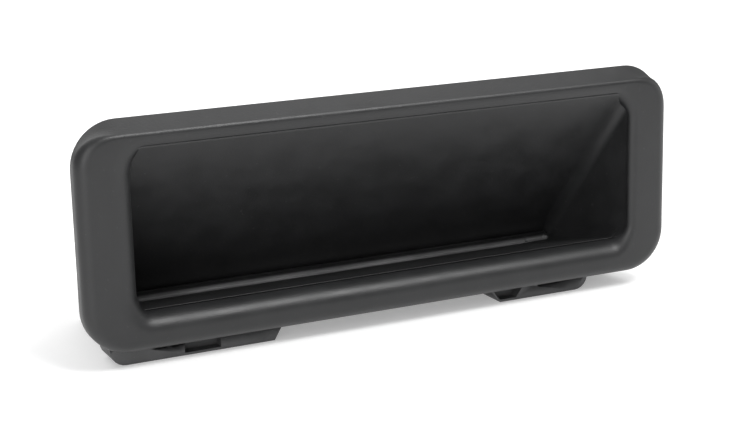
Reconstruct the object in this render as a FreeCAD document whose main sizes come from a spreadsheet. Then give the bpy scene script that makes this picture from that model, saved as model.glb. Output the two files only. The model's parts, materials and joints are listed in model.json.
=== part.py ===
import FreeCAD, Part
import math
import os
import re

import Sketcher
from FreeCAD import Vector

# Recessed tailgate release grip: a soft rim round a wedge-shaped finger pocket, a sprung release
# pad in the pocket's floor, and a microswitch behind the pocket's back wall that the pad works.
#
# Working frame of every sub-part: X runs along the grip, Y goes into the vehicle from the rim's
# front crest, Z goes up from the middle of the rim.  The last step of each sub-part moves it so
# that the part's origin is the middle of its box, at the level of the feet.

doc = FreeCAD.newDocument("recessed_release_grip")
dims = doc.addObject("Spreadsheet::Sheet", "dims")

SIZES = {
    # soft rim
    "rim_width": 130.0,
    "rim_height": 44.6,
    "rim_depth": 4.2,
    "rim_corner": 9.0,
    "rim_shoulder": 1.6,
    "crest_height": 18.8,
    "lip_roll": 3.0,
    "skin_front": 2.4,
    "skin_side": 2.3,
    "lip_wall": 2.0,
    "rib_rise": 0.4,
    # opening and finger pocket
    "opening_width": 111.0,
    "opening_top": 15.4,
    "opening_bottom": 15.3,
    "opening_corner": 4.0,
    "pocket_depth": 28.0,
    "crease_drop": 20.6,
    "crease_width": 103.2,
    "crease_height": 2.4,
    "crease_corner": 1.1,
    "tray_wall": 1.6,
    "tray_flange": 4.0,
    "window_lead": 0.6,
    # rear housing
    "stand_height": 25.5,
    "flange_depth": 2.2,
    "flange_margin": 0.9,
    "housing_wall": 1.6,
    "housing_floor": 1.4,
    "housing_depth": 38.0,
    "housing_front_width": 118.0,
    "housing_rear_width": 111.0,
    "housing_front_top": 18.9,
    "housing_rear_top": 14.5,
    "housing_corner": 4.0,
    "sill_depth": 14.0,
    # feet under the rim
    "foot_gap": 0.2,
    "foot_depth": 5.0,
    "foot_slant": 2.6,
    "foot_inner": 23.2,
    "left_foot_outer": 59.5,
    "right_foot_outer": 47.5,
    "foot_round": 3.1,
    "slot_width": 2.6,
    "slot_height": 0.7,
    "slot_depth": 1.6,
    "slot_level": 2.1,
    "slot_rib": 0.8,
    "left_slots": 50.7,
    "right_slot": 35.0,
    "clip_window": 7.5,
    "clip_offset": 21.4,
    "window_floor": 0.5,
    "window_tall": 2.1,
    "wedge_start": 0.6,
    "wedge_end": 8.5,
    "wedge_slant": 2.0,
    # fits
    "seat_gap": 0.15,
    "edge_gap": 0.3,
    "swing_gap": 0.45,
    "pin_gap": 0.05,
    # release pad, rocker and axle
    "pad_width": 92.0,
    "pad_start": 8.3,
    "pad_thickness": 1.2,
    "rocker_thickness": 1.5,
    "stop_reach": 1.4,
    "stop_thickness": 0.8,
    "pivot_depth": 33.8,
    "pivot_drop": 21.7,
    "axle_radius": 1.25,
    "barrel_radius": 2.0,
    "bracket_width": 2.6,
    "bracket_margin": 0.9,
    "bracket_sink": 0.4,
    "rod_overhang": 1.6,
    "clip_radius": 2.2,
    "clip_thickness": 0.8,
    "lever_width": 32.0,
    "lever_thickness": 2.0,
    "lever_rise": 23.2,
    "lever_setback": 1.2,
    # return springs
    "spring_spread": 12.0,
    "spring_height": 13.7,
    "spring_radius": 2.0,
    "spring_wire": 0.5,
    "spring_turns": 4.0,
    "spring_length": 6.0,
    "seat_radius": 3.2,
    # microswitch
    "switch_length": 12.8,
    "switch_width": 5.8,
    "switch_height": 6.5,
    "switch_base": 2.1,
    "switch_wall": 0.7,
    "plunger_reach": 1.5,
    "plunger_length": 2.9,
    "plunger_width": 1.4,
    "plunger_offset": 1.6,
    "plunger_gap": 0.1,
    "blade_thickness": 0.25,
    "blade_gap": 0.25,
    "blade_drop": 1.9,
    "blade_margin": 0.5,
    "blade_width": 2.4,
    "blade_roll": 0.35,
    "terminal_pitch": 5.08,
    "terminal_length": 3.6,
    "terminal_width": 1.2,
    "terminal_thickness": 0.5,
    "screw_pitch": 6.5,
    "small_screw_radius": 0.9,
    "small_head_radius": 1.7,
    "small_head_height": 1.2,
    "shelf_thickness": 2.0,
    "shelf_margin": 1.0,
    # connector and switch chamber lid
    "rail_height": 6.5,
    "connector_reach": 10.0,
    "connector_width": 18.0,
    "connector_height": 9.0,
    "connector_wall": 1.1,
    "connector_floor": 1.2,
    "connector_corner": 1.6,
    "rail_setback": 2.0,
    "latch_width": 4.0,
    "latch_rise": 0.9,
    "latch_setback": 1.4,
    "latch_length": 2.0,
    "window_width": 42.0,
    "window_low": 7.0,
    "window_high": 10.2,
    "lid_border": 4.5,
    "lid_edge": 3.0,
    "lid_screw_inset": 0.5,
    "head_margin": 0.1,
    "lid_thickness": 1.8,
    "seal_width": 1.4,
    "seal_thickness": 0.8,
    # fasteners and mounting
    "screw_radius": 1.1,
    "screw_head_radius": 2.3,
    "screw_head_height": 1.6,
    "post_radius": 3.0,
    "post_spread": 33.0,
    "post_high": 4.5,
    "post_low": 12.5,
    "post_bore": 6.0,
    "stud_spread": 46.0,
    "stud_drop": 2.0,
    "stud_radius": 3.0,
    "stud_collar": 3.6,
    "stud_reach": 9.0,
    "stud_head_radius": 5.0,
    "stud_head_height": 1.4,
    "gasket_width": 2.4,
    "gasket_depth": 1.6,
    "gasket_foot": 6.0,
    "snap_spread": 38.0,
    "snap_width": 10.0,
    "snap_length": 10.5,
    "snap_rise": 2.2,
    "snap_sheet": 0.5,
    "snap_start": 4.0,
    "snap_tip": 0.6,
    "snap_bend": 1.6,
}
for row, (alias, value) in enumerate(SIZES.items(), start=1):
    dims.set("A%d" % row, str(value))
    dims.setAlias("A%d" % row, alias)
doc.recompute()

NAMES = re.compile(r"\b[a-z]+(?:_[a-z]+)+\b")


def bound(text):
    """The expression that reads the sheet's cells for the names in text."""
    return NAMES.sub(lambda match: "dims." + match.group(0), str(text))


def number(text):
    """The present value of an expression, in millimetres."""
    value = dims.evalExpression(bound(text))
    return float(getattr(value, "Value", value))


# ---------------------------------------------------------------- sketches and solid features

# Each plane's first and second sketch axes are in X, Y, Z order, and grow says which way its
# prisms go: +1 along the sketch's own normal, -1 against it.
PLANES = {"x": ("YZ_Plane", 1), "y": ("XZ_Plane", -1), "z": ("XY_Plane", 1)}


def new_sketch(body, name, axis, level):
    """An empty sketch across an axis, at a level along it."""
    role, grow = PLANES[axis]
    sketch = body.newObject("Sketcher::SketchObject", name)
    plane = [item for item in body.Origin.OriginFeatures if item.Role == role][0]
    sketch.AttachmentSupport = (plane, "")
    sketch.MapMode = "FlatFace"
    sketch.setExpression("AttachmentOffset.Base.z", "%d * (%s)" % (grow, bound(level)))
    return sketch


def place_point(sketch, item, end, across, up):
    """Ties one point of a sketch to two expressions."""
    for kind, text in (("DistanceX", across), ("DistanceY", up)):
        index = sketch.addConstraint(Sketcher.Constraint(kind, -1, 1, item, end, number(text)))
        sketch.setExpression("Constraints[%d]" % index, bound(text))


def add_polygon(sketch, points):
    """A closed outline of straight lines."""
    places = [Vector(number(across), number(up), 0) for across, up in points]
    first = sketch.GeometryCount
    count = len(points)
    for index in range(count):
        line = Part.LineSegment(places[index], places[(index + 1) % count])
        sketch.addGeometry(line, False)
    for index in range(count):
        following = first + (index + 1) % count
        sketch.addConstraint(Sketcher.Constraint("Coincident", first + index, 2, following, 1))
    for index, (across, up) in enumerate(points):
        place_point(sketch, first + index, 1, across, up)


def add_circle(sketch, across, up, radius):
    """A circle."""
    centre = Vector(number(across), number(up), 0)
    item = sketch.addGeometry(Part.Circle(centre, Vector(0, 0, 1), number(radius)), False)
    place_point(sketch, item, 3, across, up)
    index = sketch.addConstraint(Sketcher.Constraint("Radius", item, number(radius)))
    sketch.setExpression("Constraints[%d]" % index, bound(radius))


def add_rounded(sketch, half, low, high, radius):
    """A rectangle from -half to half and low to high, with round corners."""
    right, bottom, top, round_by = number(half), number(low), number(high), number(radius)
    inner = right - round_by
    corners = [
        (inner, top - round_by, 0.0),
        (-inner, top - round_by, math.pi / 2),
        (-inner, bottom + round_by, math.pi),
        (inner, bottom + round_by, 1.5 * math.pi),
    ]
    first = sketch.GeometryCount
    for across, up, start in corners:
        circle = Part.Circle(Vector(across, up, 0), Vector(0, 0, 1), round_by)
        sketch.addGeometry(Part.ArcOfCircle(circle, start, start + math.pi / 2), False)
    sides = [
        ((inner, top), (-inner, top)),
        ((-right, top - round_by), (-right, bottom + round_by)),
        ((-inner, bottom), (inner, bottom)),
        ((right, bottom + round_by), (right, top - round_by)),
    ]
    for start, end in sides:
        sketch.addGeometry(Part.LineSegment(Vector(*start, 0), Vector(*end, 0)), False)
    arc, line = first, first + 4
    for index in range(4):
        sketch.addConstraint(
            Sketcher.Constraint("Tangent", arc + index, 2, line + index, 1))
        sketch.addConstraint(
            Sketcher.Constraint("Tangent", line + index, 2, arc + (index + 1) % 4, 1))
    for index, direction in enumerate(("Horizontal", "Vertical", "Horizontal", "Vertical")):
        sketch.addConstraint(Sketcher.Constraint(direction, line + index))
    for index in (1, 2, 3):
        sketch.addConstraint(Sketcher.Constraint("Equal", arc, arc + index))
    index = sketch.addConstraint(Sketcher.Constraint("Radius", arc, round_by))
    sketch.setExpression("Constraints[%d]" % index, bound(radius))
    levels = [
        ("DistanceY", line, high),
        ("DistanceX", line + 1, "-(%s)" % half),
        ("DistanceY", line + 2, low),
        ("DistanceX", line + 3, half),
    ]
    for kind, item, text in levels:
        index = sketch.addConstraint(Sketcher.Constraint(kind, -1, 1, item, 1, number(text)))
        sketch.setExpression("Constraints[%d]" % index, bound(text))


def prism(body, name, axis, start, end, draw, cut=False):
    """Pads or cuts what draw puts in a sketch, from start to end along an axis."""
    sketch = new_sketch(body, name + "_sketch", axis, start)
    for shape, *values in draw:
        shape(sketch, *values)
    kind = "PartDesign::Pocket" if cut else "PartDesign::Pad"
    feature = body.newObject(kind, name)
    feature.Profile = sketch
    feature.setExpression("Length", bound("(%s) - (%s)" % (end, start)))
    against = PLANES[axis][1] < 0
    feature.Reversed = (not against) if cut else against
    feature.Refine = True
    return feature


def polygon(*points):
    return (add_polygon, points)


def circle(across, up, radius):
    return (add_circle, across, up, radius)


def rounded(half, low, high, radius):
    return (add_rounded, half, low, high, radius)


def rectangle(left, right, low, high):
    return polygon((left, low), (right, low), (right, high), (left, high))


def loft(body, name, sections, cut=False, ruled=True):
    """Joins round-cornered sections that stand across Y; each is depth, half, low, high, corner."""
    sketches = []
    for index, (depth, half, low, high, radius) in enumerate(sections, start=1):
        sketch = new_sketch(body, "%s_section_%d" % (name, index), "y", depth)
        add_rounded(sketch, half, low, high, radius)
        sketches.append(sketch)
    kind = "PartDesign::SubtractiveLoft" if cut else "PartDesign::AdditiveLoft"
    feature = body.newObject(kind, name)
    feature.Profile = sketches[0]
    feature.Sections = sketches[1:]
    feature.Ruled = ruled
    return feature


OVERALL_DEPTH = "(housing_depth + connector_reach)"
PARTS = []


def new_part(label, across="0", depth="0", up="0"):
    """A sub-part whose own origin stands at a place in the working frame."""
    body = doc.addObject("PartDesign::Body", label)
    body.Label = label
    body.setExpression("Placement.Base.x", bound(across))
    body.setExpression("Placement.Base.y", bound("%s - %s / 2" % (depth, OVERALL_DEPTH)))
    body.setExpression("Placement.Base.z", bound("%s + stand_height" % up))
    PARTS.append(body)
    return body


def floor_at(depth):
    """Height of the pocket's floor, which falls from the lip to the crease."""
    fall = "(crease_drop - opening_bottom) / (pocket_depth - rim_depth)"
    return "(-opening_bottom - %s * ((%s) - rim_depth))" % (fall, depth)


# The back wall slopes, so along Y it is thicker than the tray's sheet.
BACK_SKIN = "(1.3 * tray_wall)"


def back_wall_at(up):
    """Depth of the back wall's rear face at a height."""
    reach = "(pocket_depth - rim_depth) / (opening_top + crease_drop - crease_height)"
    return "(rim_depth + %s * (opening_top - (%s)) + %s)" % (reach, up, BACK_SKIN)


# ---------------------------------------------------------------- soft rim

FLANGE_BACK = "(rim_depth + flange_depth)"


def rim_channel():
    """The ring of the hard rib that the soft rim is moulded over."""
    outer = "rim_width / 2 - skin_side"
    inner = "opening_width / 2 + lip_wall"
    return [
        rounded(outer, "-(rim_height / 2 - skin_side)", "crest_height + rib_rise",
                "rim_corner - skin_side"),
        rounded(inner, "-(opening_bottom + lip_wall)", "opening_top + lip_wall",
                "opening_corner + lip_wall"),
    ]


def make_bezel_skin():
    body = new_part("bezel_skin")
    half, low, high = "rim_width / 2", "-rim_height / 2", "rim_height / 2"
    slope = "(rim_height / 2 - crest_height) / rim_depth"
    knee = "0.3 * rim_shoulder"
    loft(body, "shoulder", [
        ("0", half + " - rim_shoulder", low + " + rim_shoulder", "crest_height",
         "rim_corner - rim_shoulder"),
        (knee, "%s - %s" % (half, knee), "%s + %s" % (low, knee),
         "crest_height + 1.25 * %s * %s" % (slope, knee), "rim_corner - %s" % knee),
        ("rim_shoulder", half, low, "crest_height + %s * rim_shoulder" % slope, "rim_corner"),
    ], ruled=False)
    loft(body, "skirt", [
        ("rim_shoulder", half, low, "crest_height + %s * rim_shoulder" % slope, "rim_corner"),
        ("rim_depth", half, low, high, "rim_corner"),
    ])
    turn = "0.293 * lip_roll"
    sections = []
    for depth, spread in (("0", "lip_roll"), (turn, turn), ("lip_roll", "0")):
        sections.append((
            depth,
            "opening_width / 2 + %s" % spread,
            "-(opening_bottom + %s)" % spread,
            "opening_top + %s" % spread,
            "opening_corner + %s" % spread,
        ))
    loft(body, "lip", sections, cut=True, ruled=False)
    straight = rounded("opening_width / 2", "-opening_bottom", "opening_top", "opening_corner")
    prism(body, "opening", "y", "lip_roll", "rim_depth", [straight], cut=True)
    prism(body, "rib_channel", "y", "skin_front", "rim_depth", rim_channel(), cut=True)


# ---------------------------------------------------------------- finger pocket

def tray_section(depth, spread):
    """The pocket's section at its mouth, widened by spread."""
    return (depth, "opening_width / 2 + %s" % spread, "-(opening_bottom + %s)" % spread,
            "opening_top + %s" % spread, "opening_corner + %s" % spread)


def crease_section(depth, spread):
    """The pocket's narrow section at its crease, widened by spread."""
    return (depth, "crease_width / 2 + %s" % spread, "-(crease_drop + %s)" % spread,
            "-(crease_drop - crease_height) + 1.2 * %s" % spread, "crease_corner + %s" % spread)


PAD_HALF = "(pad_width / 2)"
WINDOW_HALF = "(pad_width / 2 + edge_gap)"
SWITCH_FACE = "(pivot_depth - lever_setback - plunger_gap - plunger_reach)"
SWITCH_BACK = "(%s - switch_height)" % SWITCH_FACE
SCREW_DEPTH = "(%s + switch_base / 2)" % SWITCH_BACK
LEVER_FACE = "(pivot_depth - lever_setback)"
SPRING_UP = "(spring_height - pivot_drop)"


def make_pocket_tray():
    body = new_part("pocket_tray")
    flange_end = "rim_depth + tray_wall"
    flange = rounded("opening_width / 2 + tray_flange", "-(opening_bottom + tray_flange)",
                     "opening_top + tray_flange", "opening_corner + tray_flange")
    prism(body, "flange", "y", "rim_depth", flange_end, [flange])
    loft(body, "shell", [
        tray_section("rim_depth", "tray_wall"),
        crease_section("pocket_depth + tray_wall", "tray_wall"),
    ])
    for side in (-1, 1):
        for level, up in (("high", "post_high"), ("low", "-post_low")):
            place = circle("%d * post_spread" % side, up, "post_radius")
            start = back_wall_at(up + " + post_radius") + " - " + BACK_SKIN
            end = "housing_depth - housing_wall"
            name = "screw_post_%s_%s" % (level, "left" if side < 0 else "right")
            prism(body, name, "y", start, end, [place])
        seat = circle("%d * spring_spread" % side, SPRING_UP, "seat_radius")
        start = back_wall_at(SPRING_UP + " + seat_radius") + " - " + BACK_SKIN
        prism(body, "spring_seat_%s" % ("left" if side < 0 else "right"), "y", start,
              LEVER_FACE + " - spring_length", [seat])
    shelf_top = "-switch_width / 2"
    shelf = rectangle("-(switch_length / 2 + shelf_margin)", "switch_length / 2 + shelf_margin",
                      shelf_top + " - shelf_thickness", shelf_top)
    prism(body, "switch_shelf", "y", back_wall_at(shelf_top) + " - " + BACK_SKIN,
          SWITCH_FACE, [shelf])
    loft(body, "pocket", [
        tray_section("rim_depth", "0"),
        crease_section("pocket_depth", "0"),
    ], cut=True)
    window = polygon(
        ("pad_start - swing_gap", floor_at("pad_start") + " + pad_thickness"),
        ("pocket_depth - window_lead", "-crease_drop + edge_gap"),
        ("pocket_depth + 3 * tray_wall", "-crease_drop + edge_gap"),
        ("pocket_depth + 3 * tray_wall", "-stand_height"),
        ("pad_start - swing_gap", "-stand_height"),
    )
    prism(body, "pad_window", "x", "-" + WINDOW_HALF, WINDOW_HALF, [window], cut=True)
    for side in (-1, 1):
        for up in ("post_high", "-post_low"):
            hole = circle("%d * post_spread" % side, up, "screw_radius")
            end = "housing_depth - housing_wall"
            prism(body, "post_hole", "y", end + " - post_bore", end, [hole], cut=True)
        hole = circle("%d * screw_pitch / 2" % side, SCREW_DEPTH, "small_screw_radius")
        prism(body, "shelf_hole", "z", shelf_top + " - shelf_thickness", shelf_top, [hole],
              cut=True)


# ---------------------------------------------------------------- rear housing with its feet

ROUND_STEPS = 6
INSIDE_BACK = "(housing_depth - housing_wall)"
INSIDE_LOW = "(-(stand_height - housing_floor))"


def housing_edge(depth, front, rear):
    """A size that tapers from the housing's front to its rear, at a depth."""
    share = "((%s) - %s) / (housing_depth - %s)" % (depth, FLANGE_BACK, FLANGE_BACK)
    return "(%s + (%s - %s) * %s)" % (front, rear, front, share)


def housing_half(depth):
    return housing_edge(depth, "housing_front_width / 2", "housing_rear_width / 2")


def housing_top(depth):
    return housing_edge(depth, "housing_front_top", "housing_rear_top")


def housing_section(depth, inset, low):
    return (depth, "%s - %s" % (housing_half(depth), inset), low,
            "%s - %s" % (housing_top(depth), inset), "housing_corner - 0.6 * (%s)" % inset)


def make_rear_housing():
    body = new_part("rear_housing")
    prism(body, "rib", "y", "skin_front", "rim_depth", rim_channel())
    plate = rounded("rim_width / 2 - flange_margin", "-(rim_height / 2 - flange_margin)",
                    "rim_height / 2 - flange_margin", "rim_corner - flange_margin")
    prism(body, "flange", "y", "rim_depth", FLANGE_BACK, [plate])
    loft(body, "tub", [
        housing_section(FLANGE_BACK, "0", "-stand_height"),
        housing_section("housing_depth", "0", "-stand_height"),
    ])
    foot_back = FLANGE_BACK + " + foot_depth"
    sill_cut = polygon(
        (FLANGE_BACK, "-rim_height / 2"),
        (FLANGE_BACK + " + sill_depth", "-stand_height"),
        (FLANGE_BACK + " + sill_depth", "-stand_height - 1"),
        (FLANGE_BACK, "-stand_height - 1"),
    )
    prism(body, "sill_slope", "x", "-rim_width / 2", "rim_width / 2", [sill_cut], cut=True)
    loft(body, "tub_inside", [
        housing_section(FLANGE_BACK, "housing_wall",
                        "-(rim_height / 2 - flange_margin - housing_floor)"),
        housing_section(FLANGE_BACK + " + sill_depth + housing_floor", "housing_wall",
                        INSIDE_LOW),
        housing_section(INSIDE_BACK, "housing_wall", INSIDE_LOW),
    ], cut=True)
    mouth = rounded("opening_width / 2 + tray_wall + edge_gap",
                    "-(opening_bottom + tray_wall + 2 * edge_gap)",
                    "opening_top + tray_wall + seat_gap", "opening_corner + tray_wall")
    prism(body, "mouth", "y", "skin_front", FLANGE_BACK, [mouth], cut=True)
    rebate = rounded("opening_width / 2 + tray_flange + seat_gap",
                     "-(opening_bottom + tray_flange + seat_gap)",
                     "opening_top + tray_flange + seat_gap", "opening_corner + tray_flange")
    prism(body, "tray_rebate", "y", "rim_depth", "rim_depth + tray_wall", [rebate], cut=True)

    ledge = "-(rim_height / 2 - flange_margin - foot_gap)"
    feet = (
        ("left_foot", "-left_foot_outer", "-foot_inner"),
        ("right_foot", "right_foot_outer", "foot_inner"),
    )
    for name, outer, inner in feet:
        inward, outward = ("+", "-") if name == "left_foot" else ("-", "+")
        round_off = []
        for step in range(ROUND_STEPS + 1):
            turn = math.pi / 2 * step / ROUND_STEPS
            across = "%s %s %.4f * foot_round" % (outer, inward, 1 - math.sin(turn))
            round_off.append((across, "-stand_height + %.4f * foot_round" % (1 - math.cos(turn))))
        outline = polygon(
            (outer, ledge),
            (inner, ledge),
            ("%s %s foot_slant" % (inner, outward), "-stand_height"),
            *round_off,
        )
        prism(body, name, "y", "rim_depth + foot_gap", foot_back, [outline])
    low = "-(stand_height - slot_level)"
    slots = []
    for index in (0, 1):
        left = "-left_slots + %d * (slot_width + slot_rib)" % index
        slots.append(rectangle(left, left + " + slot_width", low, low + " + slot_height"))
    slots.append(rectangle("right_slot", "right_slot + 2 * slot_width", low, low + " + slot_height"))
    prism(body, "moulding_slots", "y", "rim_depth", "rim_depth + foot_gap + slot_depth", slots,
          cut=True)
    sill = "-stand_height + window_floor"
    clip = rectangle("-(foot_inner + clip_offset)", "-(foot_inner + clip_offset - clip_window)",
                     sill, sill + " + window_tall")
    wedge = polygon(
        ("foot_inner + wedge_start", "-rim_height / 2"),
        ("foot_inner + wedge_end", "-rim_height / 2"),
        ("foot_inner + wedge_end - wedge_slant", sill),
        ("foot_inner + wedge_start + wedge_slant", sill),
    )
    prism(body, "clip_windows", "y", "rim_depth", "rim_depth + foot_depth / 2", [clip, wedge],
          cut=True)

    bracket_start = PAD_HALF + " + edge_gap"
    for side in (-1, 1):
        near = "%d * (%s)" % (side, bracket_start)
        far = "%d * (%s + bracket_width)" % (side, bracket_start)
        start, end = (near, far) if side > 0 else (far, near)
        name = "left" if side < 0 else "right"
        bracket = rectangle("pivot_depth - barrel_radius - bracket_margin",
                            "housing_depth - bracket_sink", INSIDE_LOW + " - bracket_sink",
                            "-pivot_drop + barrel_radius + bracket_margin")
        prism(body, "axle_bracket_" + name, "x", start, end, [bracket])
        bore = circle("pivot_depth", "-pivot_drop", "axle_radius")
        prism(body, "axle_bore_" + name, "x", start, end, [bore], cut=True)
        stud = circle("%d * stud_spread" % side, "-stud_drop", "stud_collar")
        prism(body, "stud_hole_" + name, "y", INSIDE_BACK, "housing_depth", [stud], cut=True)
        for up in ("post_high", "-post_low"):
            hole = circle("%d * post_spread" % side, up, "screw_radius")
            prism(body, "screw_hole", "y", INSIDE_BACK, "housing_depth", [hole], cut=True)
        for up in lid_screw_heights():
            hole = circle("%d * (%s)" % (side, LID_SCREW), up, "small_screw_radius")
            prism(body, "lid_screw_hole", "y", INSIDE_BACK, "housing_depth", [hole], cut=True)
    window = rectangle("-window_width / 2", "window_width / 2", "-window_low", "window_high")
    prism(body, "switch_window", "y", INSIDE_BACK, "housing_depth", [window], cut=True)


# ---------------------------------------------------------------- release pad and rocker

def make_release_pad():
    body = new_part("release_pad")
    end = "pocket_depth + tray_wall"
    side = polygon(
        ("pad_start", floor_at("pad_start")),
        ("pocket_depth", "-crease_drop"),
        (end, "-crease_drop"),
        (end, "-crease_drop - pad_thickness"),
        ("pocket_depth", "-crease_drop - pad_thickness"),
        ("pad_start", floor_at("pad_start") + " - pad_thickness"),
    )
    prism(body, "pad", "x", "-" + PAD_HALF, PAD_HALF, [side])


def make_release_rocker():
    body = new_part("release_rocker")
    front = "pad_start"
    under = "pad_thickness + rocker_thickness"
    stop_top = floor_at(front) + " - tray_wall - edge_gap"
    stop_back = front + " + stop_reach"
    plate = polygon(
        (front + " - stop_reach", stop_top),
        (front, stop_top),
        (front, floor_at(front) + " - pad_thickness"),
        ("pocket_depth", "-crease_drop - pad_thickness"),
        ("pivot_depth", "-crease_drop - pad_thickness"),
        ("pivot_depth", "-crease_drop - (%s)" % under),
        ("pocket_depth", "-crease_drop - (%s)" % under),
        (stop_back, floor_at(stop_back) + " - (%s)" % under),
        (stop_back, stop_top + " - stop_thickness"),
        (front + " - stop_reach", stop_top + " - stop_thickness"),
    )
    prism(body, "plate", "x", "-" + PAD_HALF, PAD_HALF, [plate])
    barrel = circle("pivot_depth", "-pivot_drop", "barrel_radius")
    prism(body, "barrel", "x", "-" + PAD_HALF, PAD_HALF, [barrel])
    lever = rectangle(LEVER_FACE, LEVER_FACE + " + lever_thickness", "-pivot_drop",
                      "-pivot_drop + lever_rise")
    prism(body, "lever", "x", "-lever_width / 2", "lever_width / 2", [lever])
    bore = circle("pivot_depth", "-pivot_drop", "axle_radius + pin_gap")
    prism(body, "axle_bore", "x", "-" + PAD_HALF, PAD_HALF, [bore], cut=True)


def make_axle():
    body = new_part("rocker_axle", depth="pivot_depth", up="-pivot_drop")
    reach = "(%s + edge_gap + bracket_width + rod_overhang)" % PAD_HALF
    prism(body, "rod", "x", "-" + reach, reach, [circle("0", "0", "axle_radius")])
    clips = new_part("axle_clips", depth="pivot_depth", up="-pivot_drop")
    near = "(%s + edge_gap + bracket_width)" % PAD_HALF
    rings = [circle("0", "0", "clip_radius"), circle("0", "0", "axle_radius")]
    prism(clips, "clip_right", "x", near, near + " + clip_thickness", rings)
    prism(clips, "clip_left", "x", "-%s - clip_thickness" % near, "-" + near, rings)


def make_return_springs():
    for side, name in ((-1, "left"), (1, "right")):
        body = new_part("return_spring_" + name, across="%d * spring_spread" % side,
                        depth=LEVER_FACE + " - spring_length + spring_wire / 2 + seat_gap / 2",
                        up=SPRING_UP)
        sketch = new_sketch(body, "wire", "z", "0")
        add_circle(sketch, "spring_radius", "0", "spring_wire / 2")
        coil = body.newObject("PartDesign::AdditiveHelix", "coil")
        coil.Profile = sketch
        axis = [item for item in body.Origin.OriginFeatures if item.Role == "Y_Axis"][0]
        coil.ReferenceAxis = (axis, [""])
        coil.Mode = "height-turns-angle"
        coil.setExpression("Height", bound("spring_length - spring_wire - 2 * seat_gap"))
        coil.setExpression("Turns", bound("spring_turns"))


# ---------------------------------------------------------------- microswitch

BLADE_TOP = "(%s - switch_wall - blade_drop)" % SWITCH_FACE
PLUNGER_FOOT = "(%s + blade_gap)" % BLADE_TOP
BASE_TOP = "(%s + switch_base)" % SWITCH_BACK


def switch_holes(body, name):
    for side in (-1, 1):
        hole = circle("%d * screw_pitch / 2" % side, SCREW_DEPTH, "small_screw_radius")
        prism(body, name, "z", "-switch_width / 2", "switch_width / 2", [hole], cut=True)


def make_microswitch():
    length = "switch_length / 2"
    width = "switch_width / 2"
    base = new_part("microswitch_base")
    block = rectangle("-" + length, length, SWITCH_BACK, BASE_TOP)
    prism(base, "block", "z", "-" + width, width, [block])
    switch_holes(base, "screw_hole")

    cover = new_part("microswitch_cover")
    outer = rectangle("-" + length, length, BASE_TOP, SWITCH_FACE)
    prism(cover, "shell", "z", "-" + width, width, [outer])
    hollow = rectangle("-%s + switch_wall" % length, length + " - switch_wall", BASE_TOP,
                       SWITCH_FACE + " - switch_wall")
    prism(cover, "hollow", "z", "-(%s - switch_wall)" % width, width + " - switch_wall",
          [hollow], cut=True)
    guide = rectangle(
        "plunger_offset - plunger_width / 2 - pin_gap",
        "plunger_offset + plunger_width / 2 + pin_gap",
        "-(plunger_length / 2 + pin_gap)",
        "plunger_length / 2 + pin_gap",
    )
    prism(cover, "plunger_guide", "y", SWITCH_FACE + " - switch_wall", SWITCH_FACE, [guide],
          cut=True)

    plunger = new_part("microswitch_plunger")
    outline = rectangle("plunger_offset - plunger_width / 2", "plunger_offset + plunger_width / 2",
                        "-plunger_length / 2", "plunger_length / 2")
    prism(plunger, "stem", "y", PLUNGER_FOOT, SWITCH_FACE + " + plunger_reach", [outline])

    blade = new_part("contact_blade")
    pivot = "-%s + switch_wall + blade_margin" % length
    strip = rectangle(pivot, length + " - switch_wall - blade_margin",
                      BLADE_TOP + " - blade_thickness", BLADE_TOP)
    prism(blade, "strip", "z", "-blade_width / 2", "blade_width / 2", [strip])
    roll = circle(pivot, BLADE_TOP + " - blade_thickness / 2", "blade_roll")
    prism(blade, "rolled_end", "z", "-blade_width / 2", "blade_width / 2", [roll])

    pins = new_part("switch_terminals")
    for name, step in (("common", -1), ("open", 0), ("closed", 1)):
        centre = "%d * terminal_pitch" % step
        pin = rectangle(centre + " - terminal_width / 2", centre + " + terminal_width / 2",
                        "-terminal_thickness / 2", "terminal_thickness / 2")
        prism(pins, name, "y", SWITCH_BACK + " - terminal_length", SWITCH_BACK, [pin])

    screws = new_part("switch_screws")
    for side in (-1, 1):
        centre = ("%d * screw_pitch / 2" % side, SCREW_DEPTH)
        prism(screws, "shank", "z", "-%s - shelf_thickness" % width, width,
              [circle(*centre, "small_screw_radius")])
        prism(screws, "head", "z", width, width + " + small_head_height",
              [circle(*centre, "small_head_radius")])


def make_contact_rails():
    body = new_part("contact_rails")
    foot = SWITCH_BACK + " - terminal_length"
    outline = polygon(
        (foot, "terminal_thickness / 2"),
        (foot + " + terminal_width", "terminal_thickness / 2"),
        (foot + " + terminal_width", "rail_height - terminal_thickness"),
        ("housing_depth + connector_reach - rail_setback", "rail_height - terminal_thickness"),
        ("housing_depth + connector_reach - rail_setback", "rail_height"),
        (foot, "rail_height"),
    )
    for name, side in (("common_rail", -1), ("signal_rail", 1)):
        start = "%d * terminal_pitch - terminal_width / 2" % side
        prism(body, name, "x", start, start + " + terminal_width", [outline])


# ---------------------------------------------------------------- switch chamber lid, connector

LID_BACK = "(housing_depth + seal_thickness + lid_thickness)"
LID_SCREW = "window_width / 2 + lid_border - small_head_radius - head_margin"


def lid_screw_heights():
    return ("-window_low - lid_screw_inset", "window_high - lid_screw_inset")


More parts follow.
